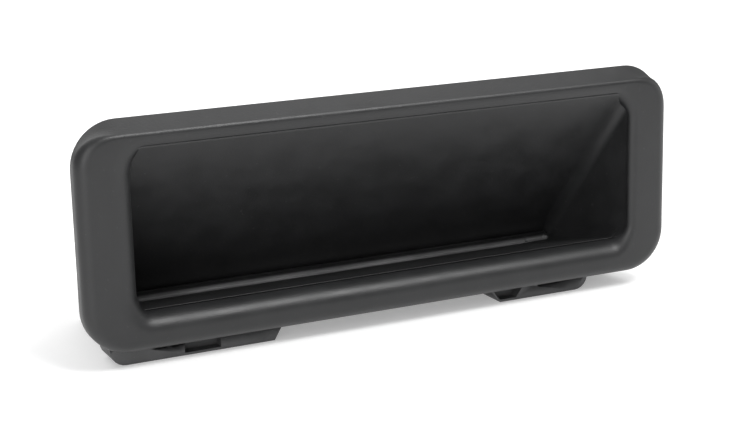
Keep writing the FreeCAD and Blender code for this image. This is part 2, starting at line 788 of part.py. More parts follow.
def make_switch_cover():
    body = new_part("switch_cover")
    plate = rectangle("-(window_width / 2 + lid_border)", "window_width / 2 + lid_border",
                      "-(window_low + lid_edge)", "window_high + lid_edge")
    prism(body, "lid", "y", "housing_depth + seal_thickness", LID_BACK, [plate])
    centre = "rail_height - terminal_thickness / 2"
    throat = rectangle("-connector_width / 2 + connector_wall",
                       "connector_width / 2 - connector_wall",
                       "%s - connector_height / 2 + connector_wall" % centre,
                       "%s + connector_height / 2 - connector_wall" % centre)
    prism(body, "throat", "y", "housing_depth + seal_thickness", LID_BACK, [throat], cut=True)
    for side in (-1, 1):
        for up in lid_screw_heights():
            hole = circle("%d * (%s)" % (side, LID_SCREW), up, "small_screw_radius")
            prism(body, "screw_hole", "y", "housing_depth + seal_thickness", LID_BACK, [hole],
                  cut=True)

    seal = new_part("cover_seal")
    ring = [
        rectangle("-(window_width / 2 + seal_width)", "window_width / 2 + seal_width",
                  "-(window_low + seal_width)", "window_high + seal_width"),
        rectangle("-window_width / 2", "window_width / 2", "-window_low", "window_high"),
    ]
    prism(seal, "ring", "y", "housing_depth", "housing_depth + seal_thickness", ring)

    screws = new_part("cover_screws")
    for side in (-1, 1):
        for up in lid_screw_heights():
            centre = ("%d * (%s)" % (side, LID_SCREW), up)
            prism(screws, "shank", "y", INSIDE_BACK, LID_BACK,
                  [circle(*centre, "small_screw_radius")])
            prism(screws, "head", "y", LID_BACK, LID_BACK + " + small_head_height",
                  [circle(*centre, "small_head_radius")])


def make_connector():
    body = new_part("connector_shroud", up="rail_height - terminal_thickness / 2")
    half, tall = "connector_width / 2", "connector_height / 2"
    end = "housing_depth + connector_reach"
    prism(body, "socket", "y", LID_BACK, end, [rounded(half, "-" + tall, tall, "connector_corner")])
    hollow = rounded(half + " - connector_wall", "-%s + connector_wall" % tall,
                     tall + " - connector_wall", "connector_corner / 2")
    floor = LID_BACK + " + connector_floor"
    prism(body, "hollow", "y", floor, end, [hollow], cut=True)
    slots = []
    for side in (-1, 1):
        centre = "%d * terminal_pitch" % side
        slots.append(rectangle(centre + " - terminal_width / 2", centre + " + terminal_width / 2",
                               "-terminal_thickness / 2", "terminal_thickness / 2"))
    prism(body, "rail_slots", "y", LID_BACK, floor, slots, cut=True)
    latch = rectangle("-latch_width / 2", "latch_width / 2", tall, tall + " + latch_rise")
    prism(body, "latch_nose", "y", end + " - latch_setback - latch_length",
          end + " - latch_setback", [latch])


# ---------------------------------------------------------------- fasteners, gasket, clips

def make_fasteners():
    screws = new_part("tray_screws")
    for side in (-1, 1):
        for up in ("post_high", "-post_low"):
            centre = ("%d * post_spread" % side, up)
            prism(screws, "shank", "y", INSIDE_BACK + " - post_bore", "housing_depth",
                  [circle(*centre, "screw_radius")])
            prism(screws, "head", "y", "housing_depth", "housing_depth + screw_head_height",
                  [circle(*centre, "screw_head_radius")])
    for side, name in ((-1, "left"), (1, "right")):
        stud = new_part("stud_" + name, across="%d * stud_spread" % side, up="-stud_drop")
        prism(stud, "collar", "y", INSIDE_BACK, "housing_depth",
              [circle("0", "0", "stud_collar")])
        prism(stud, "shank", "y", "housing_depth", "housing_depth + stud_reach",
              [circle("0", "0", "stud_radius")])
        prism(stud, "head", "y", INSIDE_BACK + " - stud_head_height", INSIDE_BACK,
              [circle("0", "0", "stud_head_radius")])


def make_panel_gasket():
    body = new_part("panel_gasket")
    half = "housing_front_width / 2 + edge_gap"
    top = "housing_front_top + edge_gap"
    outer = rounded(half + " + gasket_width", "-rim_height / 2 + flange_margin",
                    top + " + 0.6 * gasket_width", "housing_corner + gasket_width")
    inner = rounded(half, "-rim_height / 2 + 2 * flange_margin", top,
                    "housing_corner + edge_gap")
    prism(body, "strip", "y", FLANGE_BACK, FLANGE_BACK + " + gasket_depth", [outer, inner])
    drain = rectangle("-rim_width / 2", "rim_width / 2", "-rim_height / 2",
                      "-rim_height / 2 + gasket_foot")
    prism(body, "drain_gap", "y", FLANGE_BACK, FLANGE_BACK + " + gasket_depth", [drain],
          cut=True)


def make_snap_clips():
    start = FLANGE_BACK + " + snap_start"
    end = start + " + snap_length"
    low, high = housing_top(end), housing_top(start)
    outline = polygon(
        (start, high),
        (end, low),
        (end + " + snap_sheet", low + " + snap_sheet"),
        (start + " + snap_tip", high + " + snap_rise"),
        (start + " + snap_tip / 2", high + " + snap_rise - snap_sheet"),
        (end + " - snap_bend", low + " + 2 * snap_sheet"),
        (start, high + " + snap_sheet"),
    )
    for side, name in ((-1, "left"), (1, "right")):
        body = new_part("snap_clip_" + name, across="%d * snap_spread" % side)
        prism(body, "strip", "x", "-snap_width / 2", "snap_width / 2", [outline])


make_bezel_skin()
make_pocket_tray()
make_rear_housing()
make_release_pad()
make_release_rocker()
make_axle()
make_return_springs()
make_microswitch()
make_contact_rails()
make_switch_cover()
make_connector()
make_fasteners()
make_panel_gasket()
make_snap_clips()
doc.recompute()


# ---------------------------------------------------------------- checks and export

for item in doc.Objects:
    if "Invalid" in item.State or "Error" in item.State:
        raise RuntimeError("%s did not build: %s" % (item.Name, item.State))
    if item.isDerivedFrom("PartDesign::Pocket"):
        before = item.BaseFeature.Shape.Volume
        if item.Shape.Volume > before - 1e-6:
            raise RuntimeError("%s in %s cuts nothing" % (item.Name, item.getParent().Label))
for body in PARTS:
    if body.Shape.isNull() or not body.Shape.isValid():
        raise RuntimeError("%s has no valid shape" % body.Label)

os.makedirs("parts", exist_ok=True)
for body in PARTS:
    body.Shape.exportStep(os.path.join("parts", body.Label + ".step"))
    box = body.Shape.BoundBox
    print("%-22s solids %d  volume %9.1f  x %.1f..%.1f  y %.1f..%.1f  z %.1f..%.1f" % (
        body.Label, len(body.Shape.Solids), body.Shape.Volume,
        box.XMin, box.XMax, box.YMin, box.YMax, box.ZMin, box.ZMax))
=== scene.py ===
# %% [markdown]
# # A recessed release grip
# This is the pull grip of a tailgate: a black soft-touch rim, a wedge-shaped finger pocket, a
# release pad in the pocket's floor, and the switch gear behind it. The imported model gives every
# piece its place and size. Here each visible piece gets its finished shape and its finish.

# %% Load the frame
import json
import math

import bmesh
import bpy
from mathutils import Matrix, Vector
from mathutils.noise import fractal


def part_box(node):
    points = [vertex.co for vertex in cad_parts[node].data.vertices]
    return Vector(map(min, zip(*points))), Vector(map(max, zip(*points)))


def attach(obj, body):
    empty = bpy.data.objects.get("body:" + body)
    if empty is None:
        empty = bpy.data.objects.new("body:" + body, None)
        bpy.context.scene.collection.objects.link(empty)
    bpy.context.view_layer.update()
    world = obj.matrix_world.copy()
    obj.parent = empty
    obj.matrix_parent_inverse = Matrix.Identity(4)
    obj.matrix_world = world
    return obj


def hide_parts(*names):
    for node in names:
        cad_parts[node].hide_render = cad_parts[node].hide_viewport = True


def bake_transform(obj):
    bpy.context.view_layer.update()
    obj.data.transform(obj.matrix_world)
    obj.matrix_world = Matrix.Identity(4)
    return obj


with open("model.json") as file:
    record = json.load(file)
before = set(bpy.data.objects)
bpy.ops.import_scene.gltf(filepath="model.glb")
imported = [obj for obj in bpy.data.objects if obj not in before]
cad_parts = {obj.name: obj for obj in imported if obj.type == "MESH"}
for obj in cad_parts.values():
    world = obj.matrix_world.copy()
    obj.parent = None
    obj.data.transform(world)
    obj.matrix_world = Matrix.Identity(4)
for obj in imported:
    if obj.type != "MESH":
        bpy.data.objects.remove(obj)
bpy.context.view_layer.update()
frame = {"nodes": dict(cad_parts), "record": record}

nodes = frame["nodes"]
MM = 0.001

# %% [markdown]
# ## Camera
# A long lens from the left and a little above shows the rim, the pocket and the feet together. The
# camera is aimed with a tracking rotation, which points its -Z axis at a target, and then turned a
# little about that axis, as a hand-held camera would be.

# %% Camera
CAMERA_PLACE = Vector((-144.74, -311.90, 102.38)) * MM
CAMERA_TARGET = Vector((-7.42, -24.0, 24.45)) * MM
CAMERA_ROLL = math.radians(-1.38)
CAMERA_LENS = 82.15

camera_data = bpy.data.cameras.new("camera")
camera_data.lens = CAMERA_LENS
camera_data.sensor_width = 36.0
camera_data.clip_start = 0.01
camera = bpy.data.objects.new("camera", camera_data)
bpy.context.scene.collection.objects.link(camera)
aim = (CAMERA_TARGET - CAMERA_PLACE).to_track_quat("-Z", "Y").to_matrix().to_4x4()
camera.matrix_world = Matrix.Translation(CAMERA_PLACE) @ aim @ Matrix.Rotation(CAMERA_ROLL, 4, "Z")
bpy.context.scene.camera = camera
print("camera is", round((CAMERA_TARGET - CAMERA_PLACE).length, 3), "m from its target")

# %% [markdown]
# ## Floor and light
# A product is usually shot on a white sweep under soft lights. The sweep is a plane and the white
# surroundings are the world colour. A wide light behind throws the shadow forward, one overhead
# draws the highlight along the lower lip, and two weak ones fill the left and the right. The
# standard view transform keeps white as white.

# %% Floor and light
bpy.context.scene.view_settings.view_transform = "Standard"
ROOM_LIGHT = 0.32
TABLE_GLOW = 0.3

world = bpy.data.worlds.new("white_room")
world.use_nodes = True
room = world.node_tree
seen = room.nodes.new("ShaderNodeLightPath")
strength = room.nodes.new("ShaderNodeMapRange")
strength.inputs["To Min"].default_value = ROOM_LIGHT
strength.inputs["To Max"].default_value = 1.0
room.links.new(seen.outputs["Is Camera Ray"], strength.inputs["Value"])
room.nodes["Background"].inputs["Color"].default_value = (1.0, 1.0, 1.0, 1.0)
room.links.new(strength.outputs["Result"], room.nodes["Background"].inputs["Strength"])
bpy.context.scene.world = world


def area_light(name, place, target, size, power):
    """A square soft light that faces a target."""
    data = bpy.data.lights.new(name, "AREA")
    data.size = size
    data.energy = power
    light = bpy.data.objects.new(name, data)
    bpy.context.scene.collection.objects.link(light)
    light.location = place
    light.rotation_euler = (Vector(target) - Vector(place)).to_track_quat("-Z", "Y").to_euler()
    return light


LIGHTS = (
    ("back_softbox", (0.05, 0.65, 0.62), (0.0, 0.0, 0.0), 1.3, 8.5),
    ("overhead_softbox", (0.20, -0.38, 0.68), (0.0, 0.0, 0.03), 0.34, 4.7),
    ("left_fill", (-0.55, -0.60, 0.30), (0.0, 0.0, 0.02), 0.5, 2.6),
    ("right_strip", (0.6, -0.1, 0.2), (0.05, 0.0, 0.02), 0.3, 0.3),
)
for name, place, target, size, power in LIGHTS:
    area_light(name, place, target, size, power)
print("lights:", [row[0] for row in LIGHTS])

# %% [markdown]
# ## Helpers for materials
# Every finish starts from a Principled shader. The small helpers here add a node, join two sockets
# and make a node group with named sockets, so that a finish reads as a short recipe.

# %% Material helpers
def new_material(name, roughness=0.6, metallic=0.0):
    """A material with its Principled shader and an Object coordinate to read patterns from."""
    material = bpy.data.materials.new(name)
    material.use_nodes = True
    tree = material.node_tree
    shader = tree.nodes["Principled BSDF"]
    shader.inputs["Roughness"].default_value = roughness
    shader.inputs["Metallic"].default_value = metallic
    place = tree.nodes.new("ShaderNodeTexCoord")
    return material, tree, shader, place.outputs["Object"]


def use_group(tree, group, coordinate, **values):
    """Puts a node group in a tree and sets its inputs."""
    node = tree.nodes.new("ShaderNodeGroup")
    node.node_tree = group
    tree.links.new(coordinate, node.inputs["Vector"])
    for name, value in values.items():
        node.inputs[name.replace("_", " ")].default_value = value
    return node


def new_group(name, inputs, outputs):
    """A shader node group with named float inputs, a Vector input and named outputs."""
    group = bpy.data.node_groups.new(name, "ShaderNodeTree")
    group.interface.new_socket("Vector", in_out="INPUT", socket_type="NodeSocketVector")
    for label, default in inputs.items():
        kind = "NodeSocketColor" if isinstance(default, tuple) else "NodeSocketFloat"
        socket = group.interface.new_socket(label, in_out="INPUT", socket_type=kind)
        socket.default_value = default
    for label, kind in outputs.items():
        group.interface.new_socket(label, in_out="OUTPUT", socket_type=kind)
    start = group.nodes.new("NodeGroupInput")
    end = group.nodes.new("NodeGroupOutput")
    return group, start, end


def noise(tree, vector, scale, detail=4.0, roughness=0.5):
    """A noise texture's value, read at a vector."""
    node = tree.nodes.new("ShaderNodeTexNoise")
    node.inputs["Scale"].default_value = scale
    node.inputs["Detail"].default_value = detail
    node.inputs["Roughness"].default_value = roughness
    tree.links.new(vector, node.inputs["Vector"])
    return node.outputs["Fac"]


def remap(tree, value, low, high, start, end):
    """Turns low..high into start..end."""
    node = tree.nodes.new("ShaderNodeMapRange")
    for label, number in (("From Min", low), ("From Max", high), ("To Min", start), ("To Max", end)):
        node.inputs[label].default_value = number
    tree.links.new(value, node.inputs["Value"])
    return node.outputs["Result"]


def math_node(tree, operation, first, second):
    """A Math node; each input is a socket or a number."""
    node = tree.nodes.new("ShaderNodeMath")
    node.operation = operation
    for socket, value in zip(node.inputs, (first, second)):
        if isinstance(value, (int, float)):
            socket.default_value = value
        else:
            tree.links.new(value, socket)
    return node.outputs["Value"]


def mix_colours(tree, share, first, second):
    """Mixes two colours; share, first and second are each a socket or a value."""
    node = tree.nodes.new("ShaderNodeMix")
    node.data_type = "RGBA"
    for socket, value in ((node.inputs[0], share), (node.inputs[6], first), (node.inputs[7], second)):
        if hasattr(value, "is_linked"):
            tree.links.new(value, socket)
        else:
            socket.default_value = value
    return node.outputs[2]


# %% [markdown]
# ## Moulded grain
# Moulded plastic and rubber are never flat: a spark-eroded mould leaves a fine, even grain, and the
# surface rolls very slightly over a few millimetres where it shrank. One group holds both, as a
# height for a Bump node, with a soft colour mottle to go with it.

# %% Moulded grain group
grain_group, grain_in, grain_out = new_group(
    "moulded_grain",
    {"Grain size": 2600.0, "Ripple size": 90.0, "Ripple share": 0.5},
    {"Height": "NodeSocketFloat", "Mottle": "NodeSocketFloat"},
)
tree = grain_group
fine = tree.nodes.new("ShaderNodeTexNoise")
fine.inputs["Detail"].default_value = 3.0
tree.links.new(grain_in.outputs["Vector"], fine.inputs["Vector"])
tree.links.new(grain_in.outputs["Grain size"], fine.inputs["Scale"])
ripple = tree.nodes.new("ShaderNodeTexNoise")
ripple.inputs["Detail"].default_value = 1.0
tree.links.new(grain_in.outputs["Vector"], ripple.inputs["Vector"])
tree.links.new(grain_in.outputs["Ripple size"], ripple.inputs["Scale"])
share = math_node(tree, "MULTIPLY", ripple.outputs["Fac"], grain_in.outputs["Ripple share"])
height = math_node(tree, "ADD", fine.outputs["Fac"], share)
tree.links.new(height, grain_out.inputs["Height"])
mottle = noise(tree, grain_in.outputs["Vector"], 160.0, 5.0, 0.6)
tree.links.new(mottle, grain_out.inputs["Mottle"])
print("grain group sockets:", [item.name for item in grain_group.interface.items_tree])

# %% [markdown]
# ## Handling marks
# A matt black part shows where it has been handled: faint dust in specks, and thin scuffs that are
# a little lighter and smoother. Specks come from a stretched-threshold noise and scuffs from a wave
# of noise pulled long in one direction.

# %% Handling marks group
marks_group, marks_in, marks_out = new_group(
    "handling_marks",
    {"Speck size": 1400.0, "Scuff size": 60.0},
    {"Specks": "NodeSocketFloat", "Scuffs": "NodeSocketFloat"},
)
tree = marks_group
speck = tree.nodes.new("ShaderNodeTexNoise")
speck.inputs["Detail"].default_value = 2.0
tree.links.new(marks_in.outputs["Vector"], speck.inputs["Vector"])
tree.links.new(marks_in.outputs["Speck size"], speck.inputs["Scale"])
tree.links.new(remap(tree, speck.outputs["Fac"], 0.70, 0.76, 0.0, 1.0), marks_out.inputs["Specks"])
stretch = tree.nodes.new("ShaderNodeMapping")
stretch.inputs["Scale"].default_value = (0.25, 1.0, 3.0)
tree.links.new(marks_in.outputs["Vector"], stretch.inputs["Vector"])
scuff = tree.nodes.new("ShaderNodeTexNoise")
scuff.inputs["Detail"].default_value = 8.0
scuff.inputs["Roughness"].default_value = 0.7
tree.links.new(stretch.outputs["Vector"], scuff.inputs["Vector"])
tree.links.new(marks_in.outputs["Scuff size"], scuff.inputs["Scale"])
tree.links.new(remap(tree, scuff.outputs["Fac"], 0.55, 0.75, 0.0, 1.0), marks_out.inputs["Scuffs"])


# %% [markdown]
# ## Painted highlight along the crease
# A painted highlight: the turned-up edge at the back of the pad, and the lining next to it, are given
# a much lighter colour in a broken line, which stands in for the light caught along the crease. The
# group finds that edge by its place, and breaks the line up with noise pulled long.

# %% Painted crease highlight group
painted_highlight_group, painted_highlight_in, painted_highlight_out = new_group(
    "painted_crease_highlight", {"Start": 0.0012, "Top": 0.0062}, {"Painted_highlight": "NodeSocketFloat"})
tree = painted_highlight_group
place = tree.nodes.new("ShaderNodeSeparateXYZ")
tree.links.new(painted_highlight_in.outputs["Vector"], place.inputs["Vector"])
past = math_node(tree, "SUBTRACT", place.outputs["Y"], painted_highlight_in.outputs["Start"])
below = math_node(tree, "SUBTRACT", painted_highlight_in.outputs["Top"], place.outputs["Z"])
edge = math_node(tree, "MULTIPLY", remap(tree, past, 0.0, 0.0008, 0.0, 1.0),
                 remap(tree, below, 0.0, 0.0005, 0.0, 1.0))
pull = tree.nodes.new("ShaderNodeMapping")
pull.inputs["Scale"].default_value = (0.12, 1.0, 1.0)
tree.links.new(painted_highlight_in.outputs["Vector"], pull.inputs["Vector"])
streak = noise(tree, pull.outputs["Vector"], 420.0, 4.0, 0.65)
broken = remap(tree, streak, 0.3, 0.6, 0.35, 1.0)
tree.links.new(math_node(tree, "MULTIPLY", edge, broken), painted_highlight_out.inputs["Painted_highlight"])

# %% [markdown]
# ## Moulded finishes
# Rubber, moulded plastic and foam are all a dark base with grain, and differ in how light they are,
# how wide their highlight is and how coarse the grain is. One function makes them all, and it can
# add a painted highlight along the crease.

# %% Moulded finishes
def moulded(name, colour, roughness, grain=2600.0, bump=0.25, ripple=0.5, marks=0.5, painted_highlight_colour=None):
    """A moulded finish: grain and ripple as bump, mottled colour, faint handling marks, and an optional
    painted crease highlight.
    """
    material, tree, shader, place = new_material(name, roughness)
    grained = use_group(tree, grain_group, place, Grain_size=grain, Ripple_share=ripple)
    marked = use_group(tree, marks_group, place)
    dark = tuple(0.86 * part for part in colour) + (1.0,)
    light = tuple(1.14 * part for part in colour) + (1.0,)
    base = mix_colours(tree, remap(tree, grained.outputs["Mottle"], 0.35, 0.65, 0.0, 1.0),
                       dark, light)
    worn = tuple(min(1.0, 1.45 * part + 0.004) for part in colour) + (1.0,)
    share = math_node(tree, "MULTIPLY", marked.outputs["Scuffs"], 0.45 * marks)
    base = mix_colours(tree, share, base, worn)
    dust = math_node(tree, "MULTIPLY", marked.outputs["Specks"], 0.35 * marks)
    base = mix_colours(tree, dust, base, (0.25, 0.25, 0.25, 1.0))
    # Painted highlight: a much lighter colour along the crease edge stands in for the light caught
    # there.
    if painted_highlight_colour:
        painted_highlight_node = use_group(tree, painted_highlight_group, place)
        base = mix_colours(tree, painted_highlight_node.outputs["Painted_highlight"], base, painted_highlight_colour + (1.0,))
    tree.links.new(base, shader.inputs["Base Color"])
    rough = remap(tree, grained.outputs["Mottle"], 0.3, 0.7, roughness - 0.05, roughness + 0.05)
    tree.links.new(rough, shader.inputs["Roughness"])
    bumped = tree.nodes.new("ShaderNodeBump")
    bumped.inputs["Strength"].default_value = bump
    bumped.inputs["Distance"].default_value = 0.0002
    tree.links.new(grained.outputs["Height"], bumped.inputs["Height"])
    tree.links.new(bumped.outputs["Normal"], shader.inputs["Normal"])
    return material


# %% [markdown]
# ## Metal finishes
# Wire, rod and blades are drawn or rolled, so their scratches run one way. Noise read through a
# stretched mapping gives such scratches, as a change of roughness and a very shallow bump.

# %% Metal finishes
def drawn_metal(name, colour, roughness, scale=900.0, stretch=(0.15, 1.0, 1.0)):
    """A drawn or ground metal: fine scratches along one direction, and a little dulling."""
    material, tree, shader, place = new_material(name, roughness, metallic=1.0)
    pull = tree.nodes.new("ShaderNodeMapping")
    pull.inputs["Scale"].default_value = stretch
    tree.links.new(place, pull.inputs["Vector"])
    lines = noise(tree, pull.outputs["Vector"], scale, 6.0, 0.7)
    dulled = noise(tree, place, 220.0, 4.0, 0.6)
    dark = tuple(0.75 * part for part in colour) + (1.0,)
    base = mix_colours(tree, remap(tree, dulled, 0.35, 0.7, 0.0, 1.0), colour + (1.0,), dark)
    tree.links.new(base, shader.inputs["Base Color"])
    rough = remap(tree, lines, 0.3, 0.7, roughness - 0.08, roughness + 0.12)
    tree.links.new(rough, shader.inputs["Roughness"])
    bumped = tree.nodes.new("ShaderNodeBump")
    bumped.inputs["Strength"].default_value = 0.15
    bumped.inputs["Distance"].default_value = 0.0001
    tree.links.new(lines, bumped.inputs["Height"])
    tree.links.new(bumped.outputs["Normal"], shader.inputs["Normal"])
    return material


finishes = {
    "soft_rim": moulded("soft_touch_rim", (0.0140, 0.0143, 0.0149), 0.43, bump=0.16, marks=0.12),
    # The last colour of the lining is a painted highlight along the crease.
    "pocket_liner": moulded("satin_pocket", (0.0165, 0.0167, 0.0173), 0.42, grain=3200.0,
                            bump=0.12, marks=0.3,
                            painted_highlight_colour=(0.22, 0.22, 0.223)),
    "housing_plastic": moulded("housing_plastic", (0.066, 0.0665, 0.068), 0.5, bump=0.3),
    # The last colour of the pad is a painted highlight along its turned-up rear edge.
    "pad_rubber": moulded("pad_rubber", (0.024, 0.0242, 0.025), 0.36, grain=3000.0, bump=0.12, marks=0.3,
                          painted_highlight_colour=(0.26, 0.26, 0.263)),
    "rocker_plastic": moulded("filled_nylon", (0.060, 0.060, 0.062), 0.5, grain=1500.0, bump=0.4),
    "switch_plastic": moulded("switch_plastic", (0.020, 0.020, 0.022), 0.35, bump=0.08, marks=0.2),
    "plunger_plastic": moulded("plunger_plastic", (0.42, 0.05, 0.03), 0.4, bump=0.1, marks=0.2),
    "connector_plastic": moulded("connector_plastic", (0.035, 0.035, 0.038), 0.45, bump=0.15),
    "seal_rubber": moulded("seal_rubber", (0.030, 0.030, 0.030), 0.7, bump=0.1, ripple=1.0),
    "gasket_foam": moulded("closed_cell_foam", (0.055, 0.055, 0.056), 0.9, grain=1400.0, bump=1.0),
    "pin_steel": drawn_metal("ground_steel", (0.55, 0.55, 0.56), 0.28),
    "spring_steel": drawn_metal("spring_steel", (0.42, 0.42, 0.44), 0.32),
    "screw_steel": drawn_metal("zinc_plate", (0.58, 0.58, 0.56), 0.35, scale=500.0),
    "contact_brass": drawn_metal("plated_brass", (0.72, 0.55, 0.28), 0.25),
}
print("finishes:", len(finishes))

# %% [markdown]
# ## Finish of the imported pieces
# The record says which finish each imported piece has. Assigning the material to the mesh is enough,
# because the patterns read Object coordinates, which every piece has.

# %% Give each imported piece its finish
slot_of = {part["node"]: part["material_slot"] for part in frame["record"]["subparts"]}
for name, piece in nodes.items():
    piece.data.materials.clear()
    piece.data.materials.append(finishes[slot_of[name]])


# %% [markdown]
# ## Helpers for pieces
# Most shapes here are a stack of round-cornered rings. A ring starts as a circle, whose four
# quarters are moved apart to the corners, and extruding its edges from each ring to the next gives
# the skin between them. Bridging finished rings would do the same, but it can twist where the
# rings differ a lot. The top, the bottom and the sides of a ring can stand at different depths, so
# that one stack can have a steep roof and upright sides.

# %% Piece helpers
RIM_LOW, RIM_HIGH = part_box("bezel_skin")
FRONT = RIM_LOW.y
MIDDLE = 0.5 * (RIM_LOW.z + RIM_HIGH.z)
CORNER_STEPS = 14
TOP_HOLD = 4
LONG_RUN = 60.0
LONG_CUTS = 30
SHORT_CUTS = 7


def at(across, depth, up):
    """A point along the grip, into the vehicle and up from the rim's middle, in millimetres."""
    return Vector((across * MM, FRONT + depth * MM, MIDDLE + up * MM))


def three_way(value, lift):
    """Mixes a (top, bottom, side) value by how much a direction points up or down."""
    if not isinstance(value, tuple):
        return value
    top, bottom = max(0.0, lift) ** TOP_HOLD, max(0.0, -lift) ** TOP_HOLD
    return top * value[0] + bottom * value[1] + (1.0 - top - bottom) * value[2]


def ring(half, low, high, radius, depth, inset=0.0):
    """Points round a round-cornered ring. Depth and inset are numbers or (top, bottom, side)."""
    signs = ((1, 1), (-1, 1), (-1, -1), (1, -1))
    points = []
    for index in range(4 * CORNER_STEPS):
        quarter, step = divmod(index, CORNER_STEPS)
        turn = math.radians(90.0) * (quarter + step / (CORNER_STEPS - 1))
        side, lift = math.cos(turn), math.sin(turn)
        corner_x = signs[quarter][0] * (half - radius)
        corner_z = high - radius if signs[quarter][1] > 0 else low + radius
        reach = radius - three_way(inset, lift)
        points.append(at(corner_x + reach * side, three_way(depth, lift), corner_z + reach * lift))
    return points


def stack(mesh, rings, closed=False):
    """Extrudes a circle of edges from each ring of points to the next, and returns the last one."""
    order = bmesh.ops.create_circle(mesh, segments=len(rings[0]), radius=1.0)["verts"]
    edges = list(dict.fromkeys(edge for vert in order for edge in vert.link_edges))
    for vert, place in zip(order, rings[0]):
        vert.co = place
    for places in rings[1:] + ([rings[0]] if closed else []):
        grown = bmesh.ops.extrude_edge_only(mesh, edges=edges)["geom"]
        fresh = set(item for item in grown if isinstance(item, bmesh.types.BMVert))
        order = [next(edge.other_vert(vert) for edge in vert.link_edges
                      if edge.other_vert(vert) in fresh) for vert in order]
        edges = [item for item in grown
                 if isinstance(item, bmesh.types.BMEdge) and fresh.issuperset(item.verts)]
        for vert, place in zip(order, places):
            vert.co = place
    if closed:
        bmesh.ops.remove_doubles(mesh, verts=mesh.verts, dist=0.001 * MM)
    return edges


def divide_long(mesh, longest):
    """Cuts the edges that are longer than a length, so that a straight run can be shaped."""
    for limit, cuts in ((LONG_RUN, LONG_CUTS), (longest, SHORT_CUTS)):
        edges = [edge for edge in mesh.edges if edge.calc_length() > limit * MM]
        bmesh.ops.subdivide_edges(mesh, edges=edges, cuts=cuts, use_grid_fill=True)


def settle_order(mesh):
    """Sorts a mesh's parts by their place, so that every run gives the same normals."""
    rank = {vert: number for number, vert in enumerate(sorted(mesh.verts, key=lambda v: v.co[:]))}

    def ranks(part):
        return tuple(sorted(rank[vert] for vert in part.verts))

    for parts in (mesh.edges, mesh.faces):
        place = {part: number for number, part in enumerate(sorted(parts, key=ranks))}
        parts.sort(key=lambda part: place[part])
    mesh.verts.sort(key=lambda vert: rank[vert])
    for parts in (mesh.verts, mesh.edges, mesh.faces):
        parts.index_update()


def finish_piece(mesh, name, body, replaced, slot, smooth_angle=35.0):
    """Turns a bmesh into a piece."""
    settle_order(mesh)
    bmesh.ops.recalc_face_normals(mesh, faces=mesh.faces)
    data = bpy.data.meshes.new(name)
    mesh.to_mesh(data)
    mesh.free()
    data.shade_smooth()
    data.set_sharp_from_angle(angle=math.radians(smooth_angle))
    piece = bpy.data.objects.new(name, data)
    bpy.context.scene.collection.objects.link(piece)
    data.materials.append(finishes[slot])
    if isinstance(body, tuple):
        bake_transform(piece)
    else:
        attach(piece, body)
    if replaced:
        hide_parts(*replaced)
    print(name, "has", len(data.polygons), "faces")
    return piece


# %% [markdown]
# ## Soft rim
# The rim is a moulded ring with a round shoulder outside, a flat face, and a lip that rolls into
# the pocket. Its roof slopes back from a crest, so that water runs off. A revolve can't make a
# rectangle, and a bevelled box has the same round everywhere, so the ring is a stack of rings. A
# slow, shallow noise keeps the long faces from looking machined, because soft-touch skin over a
# hard rib is always a little uneven.

# %% Soft rim
RIM_DEPTH = (RIM_HIGH.y - RIM_LOW.y) / MM
RIM_HALF = (RIM_HIGH.x - RIM_LOW.x) / MM / 2
RIM_TALL = (RIM_HIGH.z - RIM_LOW.z) / MM / 2
RIM_CORNER = 9.0
SHOULDER = 2.6
CREST = 19.6
CREST_ROUND = 1.1
LIP_SPREAD = {"left": 5.2, "right": 1.8, "top": 3.3, "bottom": 3.5}
LIP_REACH = {"left": 4.2, "right": 1.6, "top": 4.4, "bottom": 4.1}
LIP_OVERHANG = {"left": 1.6, "right": 0.0}
UNDERCUT = {"left": 0.0, "right": -1.6}
MOUTH = {"half": 55.5, "low": -15.3, "high": 15.4, "radius": 4.0}
ROLL_STEPS = 12
WAVE = 0.12
WAVE_SCALE = 55.0
WAVE_FREE = 0.5

rim_outline = {"half": RIM_HALF, "low": -RIM_TALL, "high": RIM_TALL, "radius": RIM_CORNER}
roof_slope = (RIM_TALL - CREST) / RIM_DEPTH
crest_turn = math.radians(90.0) - math.atan(roof_slope)
crest_tangent = CREST_ROUND * math.tan(crest_turn / 2)


def shoulder_station(share):
    """(inset, depth) on the roof and on the sides, from the shoulder's rear (0) to the face (1)."""
    turn = (1.0 - share) * crest_turn
    roof = (RIM_TALL - (CREST - crest_tangent + CREST_ROUND * math.sin(turn)),
            CREST_ROUND * (1 - math.cos(turn)))
    turn = math.radians(90.0) * share
    side = (SHOULDER * (1 - math.cos(turn)), SHOULDER * (1 - math.sin(turn)))
    return roof, side


rim_mesh = bmesh.new()
rings = []
(roof_inset, roof_depth), (side_inset, side_depth) = shoulder_station(0.0)
for share in (0.0, 0.5):
    inset = (roof_inset * share, 0.0, 0.0)
    depth = tuple(RIM_DEPTH + (end - RIM_DEPTH) * share
                  for end in (roof_depth, side_depth, side_depth))
    rings.append(ring(depth=depth, inset=inset, **rim_outline))
for step in range(ROLL_STEPS + 1):
    roof, side = shoulder_station(step / ROLL_STEPS)
    rings.append(ring(depth=(roof[1], side[1], side[1]), inset=(roof[0], side[0], side[0]),
                      **rim_outline))
for step in range(ROLL_STEPS + 1):
    turn = math.radians(90.0) * step / ROLL_STEPS
    halves = []
    for side in ("right", "left"):
        keys = ("top", "bottom", side)
        spread = [-LIP_SPREAD[key] * (1 - math.sin(turn)) for key in keys]
        spread[2] += LIP_OVERHANG[side]
        halves.append(ring(depth=tuple(LIP_REACH[key] * (1 - math.cos(turn)) for key in keys),
                           inset=tuple(spread), **MOUTH))
    rings.append([one if one.x > 0 else other for one, other in zip(*halves)])
halves = [ring(depth=RIM_DEPTH, inset=(0.0, 0.0, LIP_OVERHANG[side] + UNDERCUT[side]), **MOUTH)
          for side in ("right", "left")]
